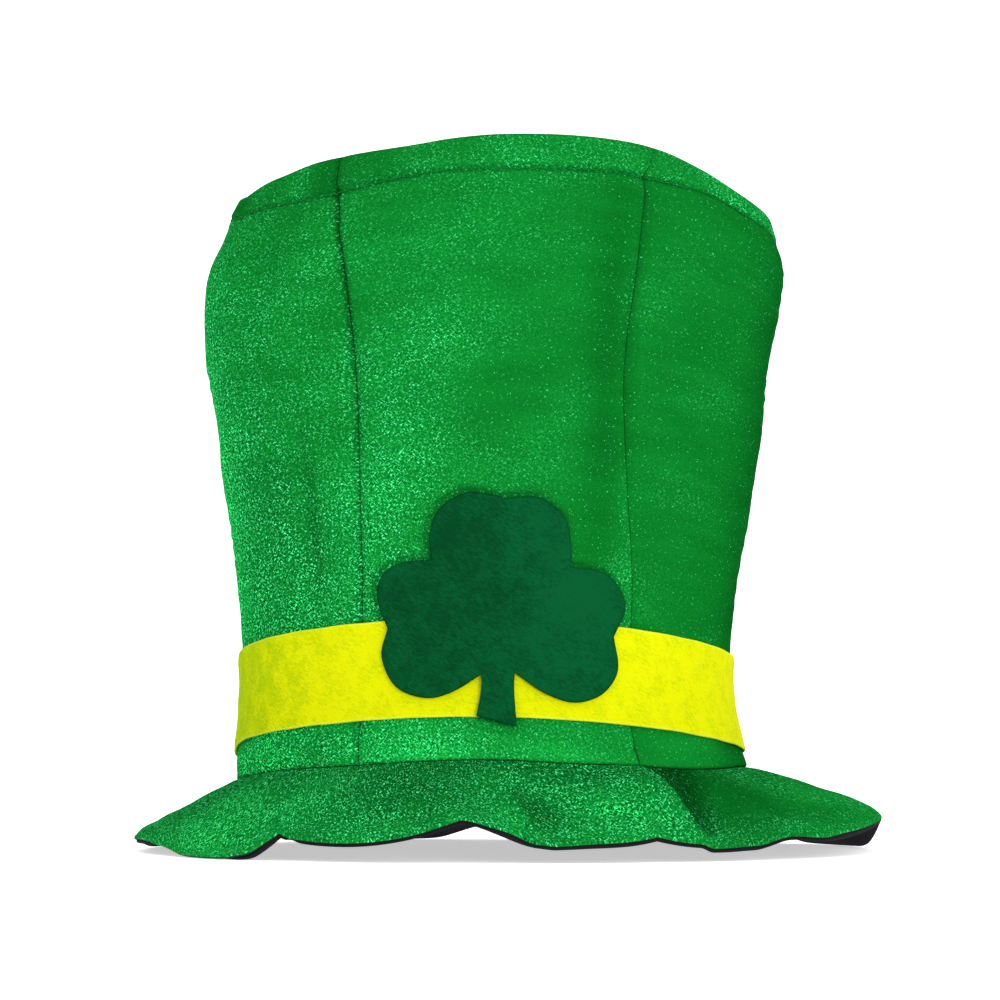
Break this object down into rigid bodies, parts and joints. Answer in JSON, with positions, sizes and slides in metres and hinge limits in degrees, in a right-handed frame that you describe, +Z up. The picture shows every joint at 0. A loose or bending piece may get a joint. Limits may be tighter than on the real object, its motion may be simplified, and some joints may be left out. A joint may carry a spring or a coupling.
{
  "type": "leprechaun hat",
  "caption": "Tall flared velvet costume hat with a pinched lip, felt band, felt shamrock and a wavy lined brim, worn on the head.",
  "frame": {"origin": "middle of the hat's footprint, on the surface that the brim rests on", "axes": "+Z up, towards the top of the crown; -Y is the front, the side with the shamrock; +X is the right side seen from the front"},
  "size_m": [0.2883, 0.2843, 0.2647],
  "materials": {
    "green_velvet": "short-pile green velvet with fine glitter threads",
    "yellow_felt": "pressed yellow craft felt",
    "dark_green_felt": "pressed dark green craft felt",
    "black_lining": "matte black woven lining"
  },
  "bodies": {
    "root": {"crown_panel_front": "green_velvet", "crown_panel_front_right": "green_velvet", "crown_panel_back_right": "green_velvet", "crown_panel_back": "green_velvet", "crown_panel_back_left": "green_velvet", "crown_panel_front_left": "green_velvet", "crown_tip": "green_velvet", "brim_velvet": "green_velvet", "hat_band": "yellow_felt", "shamrock": "dark_green_felt", "brim_lining": "black_lining"}
  },
  "joints": []
}
